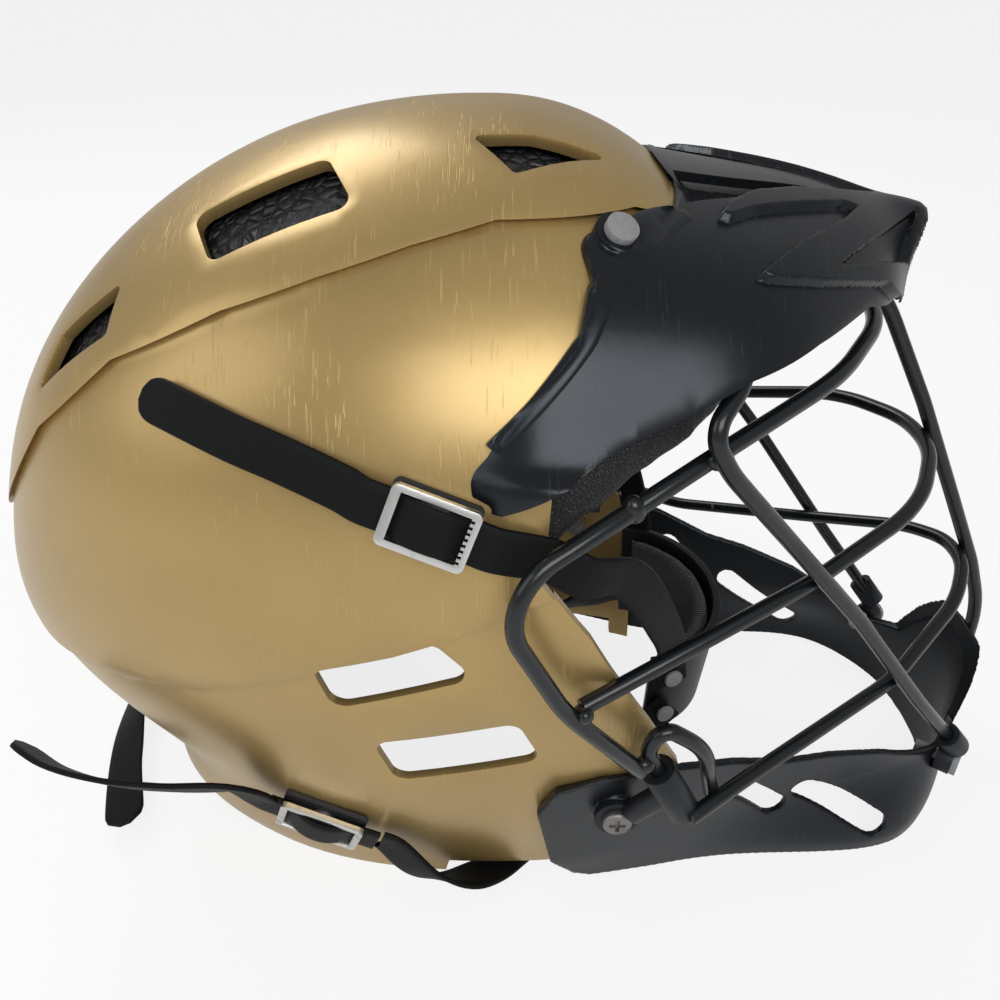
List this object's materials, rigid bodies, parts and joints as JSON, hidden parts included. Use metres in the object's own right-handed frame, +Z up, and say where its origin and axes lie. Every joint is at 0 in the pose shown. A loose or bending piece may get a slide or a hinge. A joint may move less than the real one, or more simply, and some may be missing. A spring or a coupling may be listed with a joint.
{
  "type": "lacrosse helmet",
  "caption": "Field lacrosse helmet with a vented shell, moulded visor, welded wire face cage, chin guard, foam liner and a chin strap with a cup, held by snaps.",
  "frame": {"origin": "middle of the footprint, on the plane the helmet stands on", "axes": "+X forwards out of the face opening, +Y to the wearer's left, +Z up"},
  "size_m": [0.3824, 0.242, 0.2658],
  "materials": {
    "shell_gold": "satin metallic paint",
    "bead_foam": "moulded beads",
    "pad_vinyl": "grained vinyl",
    "visor_black": "gloss",
    "rivet_grey": "matte",
    "cage_coating": "gloss powder coat",
    "guard_black": "satin",
    "clip_black": "satin",
    "screw_steel": "dark plated",
    "stud_chrome": "polished",
    "buckle_steel": "brushed",
    "backing_rubber": "matte",
    "cup_black": "satin",
    "cup_pad": "soft",
    "webbing": "woven"
  },
  "bodies": {
    "helmet": {"brow_hoop": "cage_coating", "brow_pad": "pad_vinyl", "centre_bar": "cage_coating", "chin_clips": "clip_black", "chin_guard": "guard_black", "chin_rivets": "rivet_grey", "clip_nuts": "screw_steel", "clip_screws": "screw_steel", "crown_liner": "bead_foam", "eye_hoop": "cage_coating", "left_end_loop": "cage_coating", "left_jaw_pad": "pad_vinyl", "left_rear_bar": "cage_coating", "left_side_bar": "cage_coating", "left_side_clip": "clip_black", "lower_left_tail": "webbing", "lower_studs": "stud_chrome", "mouth_hoop": "cage_coating", "nape_pad": "pad_vinyl", "outer_shell": "shell_gold", "right_end_loop": "cage_coating", "right_jaw_pad": "pad_vinyl", "right_rear_bar": "cage_coating", "right_side_bar": "cage_coating", "right_side_clip": "clip_black", "stud_washers": "stud_chrome", "upper_studs": "stud_chrome", "visor": "visor_black", "visor_rivets": "rivet_grey"},
    "chin_strap": {"chin_cup": "cup_black", "chin_cup_pad": "cup_pad", "cup_rivets": "rivet_grey", "upper_right_strap": "webbing", "upper_left_strap": "webbing", "upper_right_buckle": "buckle_steel", "upper_left_buckle": "buckle_steel", "upper_sockets": "stud_chrome", "upper_backing_pads": "backing_rubber", "lower_right_strap": "webbing", "lower_left_strap": "webbing"},
    "lower_right_snap": {"lower_right_buckle": "buckle_steel", "lower_right_socket": "stud_chrome", "lower_right_backing_pad": "backing_rubber", "lower_right_loop": "webbing"},
    "lower_left_snap": {"lower_left_buckle": "buckle_steel", "lower_left_socket": "stud_chrome", "lower_left_backing_pad": "backing_rubber", "lower_left_loop": "webbing"}
  },
  "joints": [
    {"name": "chin_swing", "type": "hinge", "parent": "helmet", "child": "chin_strap", "pos_m": [-0.03061, 0, 0.18058], "axis": [0, 1, 0], "range_deg": [-3, 3], "deforming": ["lower_right_strap", "lower_left_strap"]},
    {"name": "lower_right_swivel", "type": "hinge", "parent": "helmet", "child": "lower_right_snap", "pos_m": [-0.07542, -0.08202, 0.042], "axis": [-0.2345, -0.9297, -0.2841], "range_deg": [-8, 8]},
    {"name": "lower_left_swivel", "type": "hinge", "parent": "helmet", "child": "lower_left_snap", "pos_m": [-0.07542, 0.08202, 0.042], "axis": [-0.2345, 0.9297, -0.2841], "range_deg": [-8, 8], "deforming": ["lower_left_tail"]}
  ]
}
